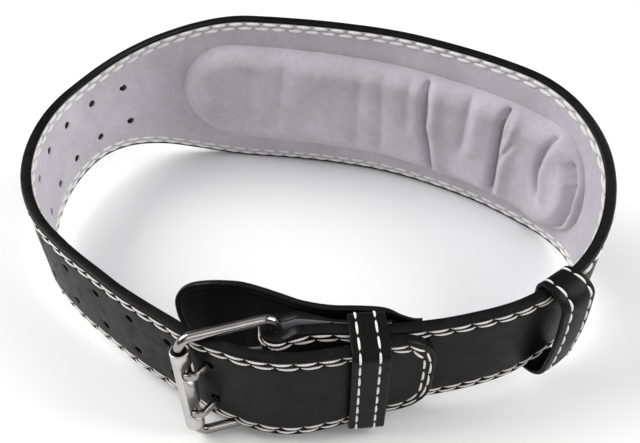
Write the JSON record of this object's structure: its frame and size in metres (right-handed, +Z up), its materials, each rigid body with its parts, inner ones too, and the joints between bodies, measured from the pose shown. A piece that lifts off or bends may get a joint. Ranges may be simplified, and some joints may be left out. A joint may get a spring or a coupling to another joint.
{
  "type": "weightlifting belt",
  "caption": "Black leather lifting belt with a wide suede-lined back, a padded lumbar panel and a pronged roller buckle closed over a tapered front.",
  "frame": {"origin": "centre of the bounding box in plan, on the surface that the belt stands on", "axes": "+Z up, -Y from the ring's middle to the buckle at the front, +X to the right as the buckle is faced, which is the ring's width"},
  "size_m": [0.2926, 0.218, 0.1027],
  "materials": {
    "leather_black": "smooth black grain with black painted edges and off-white stitching",
    "guard_leather": "smooth black grain with a pressed line along its edge",
    "lining_suede": "light grey suede nap",
    "pad_suede": "light grey suede over foam, with soft folds",
    "buckle_wire": "polished bent steel",
    "roller_steel": "satin rolled sheet"
  },
  "bodies": {
    "root": {"belt_leather": "leather_black", "suede_lining": "lining_suede", "lumbar_pad": "pad_suede", "buckle_guard": "guard_leather", "fixed_keeper": "leather_black", "sliding_keeper": "leather_black", "buckle_frame": "buckle_wire", "buckle_roller": "roller_steel", "prong_upper": "buckle_wire", "prong_lower": "buckle_wire"}
  },
  "joints": []
}
